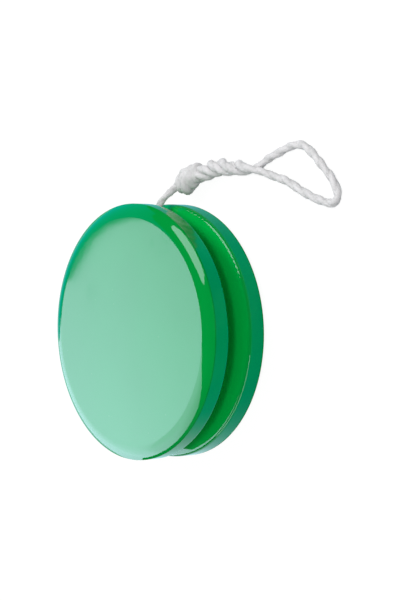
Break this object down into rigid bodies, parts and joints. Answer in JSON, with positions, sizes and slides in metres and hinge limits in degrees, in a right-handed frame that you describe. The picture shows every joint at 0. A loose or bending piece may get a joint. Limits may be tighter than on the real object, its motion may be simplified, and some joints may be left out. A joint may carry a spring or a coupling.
{
  "type": "yo yo",
  "caption": "Slim round toy of two glossy discs on an axle, with a cotton string wound in the gap and a knotted finger loop.",
  "frame": {"origin": "centre of the rear flat face, which the yo-yo lies on", "axes": "+Z along the axle from the rear half to the front half, +X from the axle to where the string leaves the gap, floor at Z = 0"},
  "size_m": [0.068, 0.0809, 0.016],
  "materials": {
    "cap": "opaque moulded plastic, polished",
    "shell": "opaque moulded plastic, polished",
    "sleeve": "natural nylon, turned",
    "steel": "zinc plated",
    "string": "twisted white cotton"
  },
  "bodies": {
    "yo_yo": {"axle_rod": "steel", "axle_sleeve": "sleeve", "front_body": "shell", "front_cap": "cap", "front_nut": "steel", "rear_body": "shell", "rear_cap": "cap", "rear_nut": "steel"},
    "string": {"string_coil": "string", "string_lead": "string", "string_knot": "string", "string_twist": "string", "finger_loop": "string"}
  },
  "joints": [
    {"name": "string_spin", "type": "hinge", "parent": "yo_yo", "child": "string", "pos_m": [0, 0, 0.008], "axis": [0, 0, 1], "continuous": true}
  ]
}
